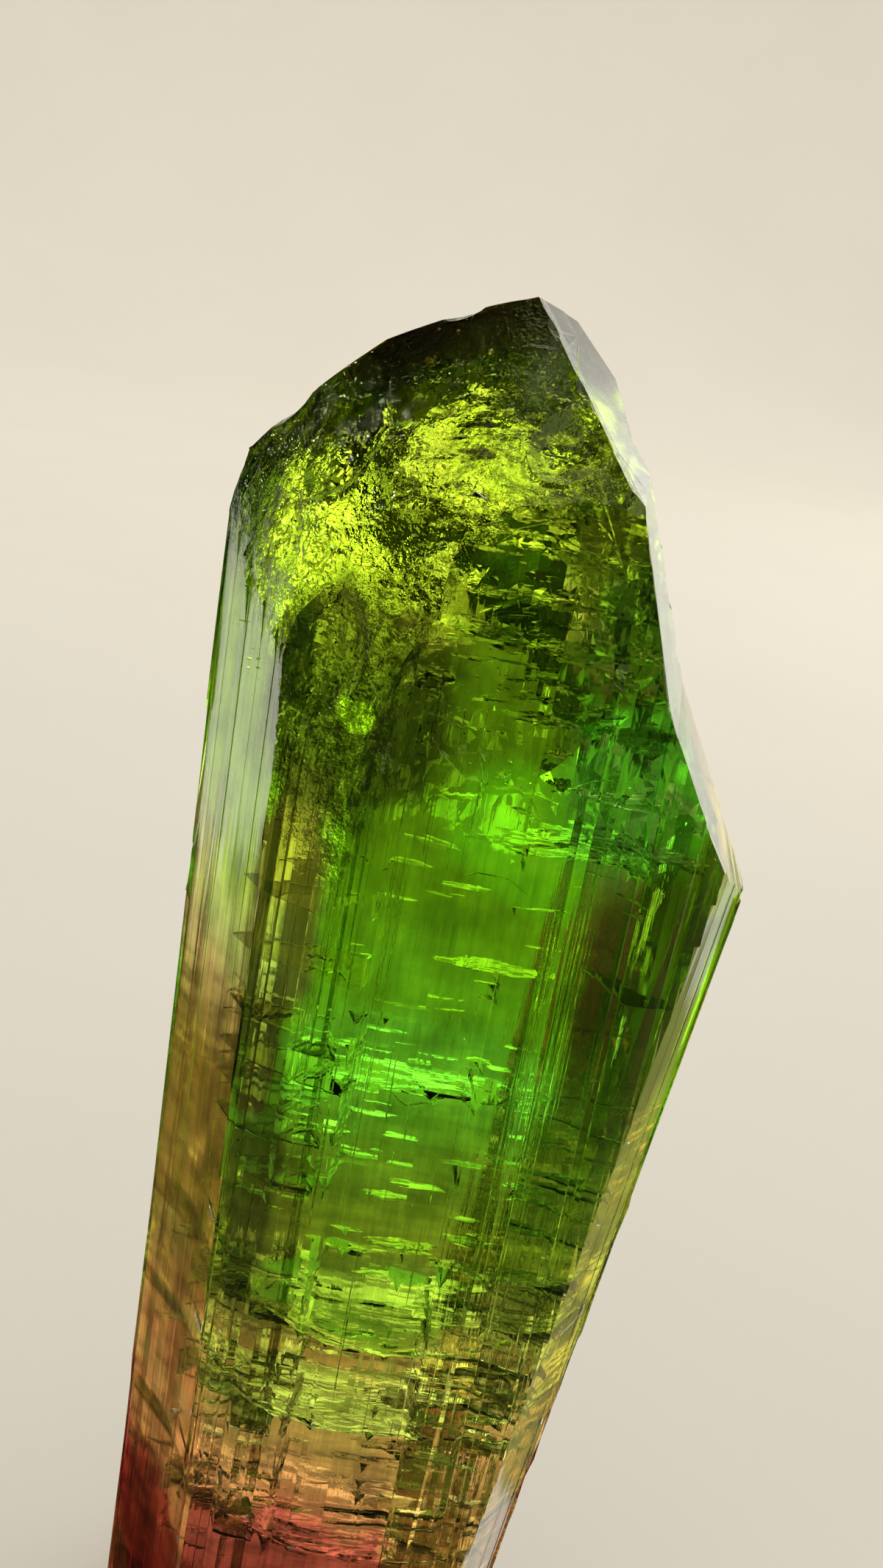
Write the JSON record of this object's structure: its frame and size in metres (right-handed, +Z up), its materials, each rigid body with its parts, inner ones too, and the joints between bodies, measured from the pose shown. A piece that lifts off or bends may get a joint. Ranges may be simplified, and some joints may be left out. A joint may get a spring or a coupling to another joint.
{
  "type": "elbaite tourmaline crystal",
  "caption": "Clear green-to-pink elbaite crystal: a long striated prism, wider to the right as it rises, with an etched slanting top and a flat foot to stand on.",
  "frame": {"origin": "on the flat foot, under the middle of the crystal's long axis", "axes": "+Z up along the crystal's long c axis, -Y towards the broad front face, +X to the side where the crystal widens"},
  "size_m": [0.0313, 0.0256, 0.0869],
  "materials": {
    "tourmaline": "clear, glassy, striated lengthwise"
  },
  "bodies": {
    "root": {"crystal": "tourmaline"}
  },
  "joints": []
}
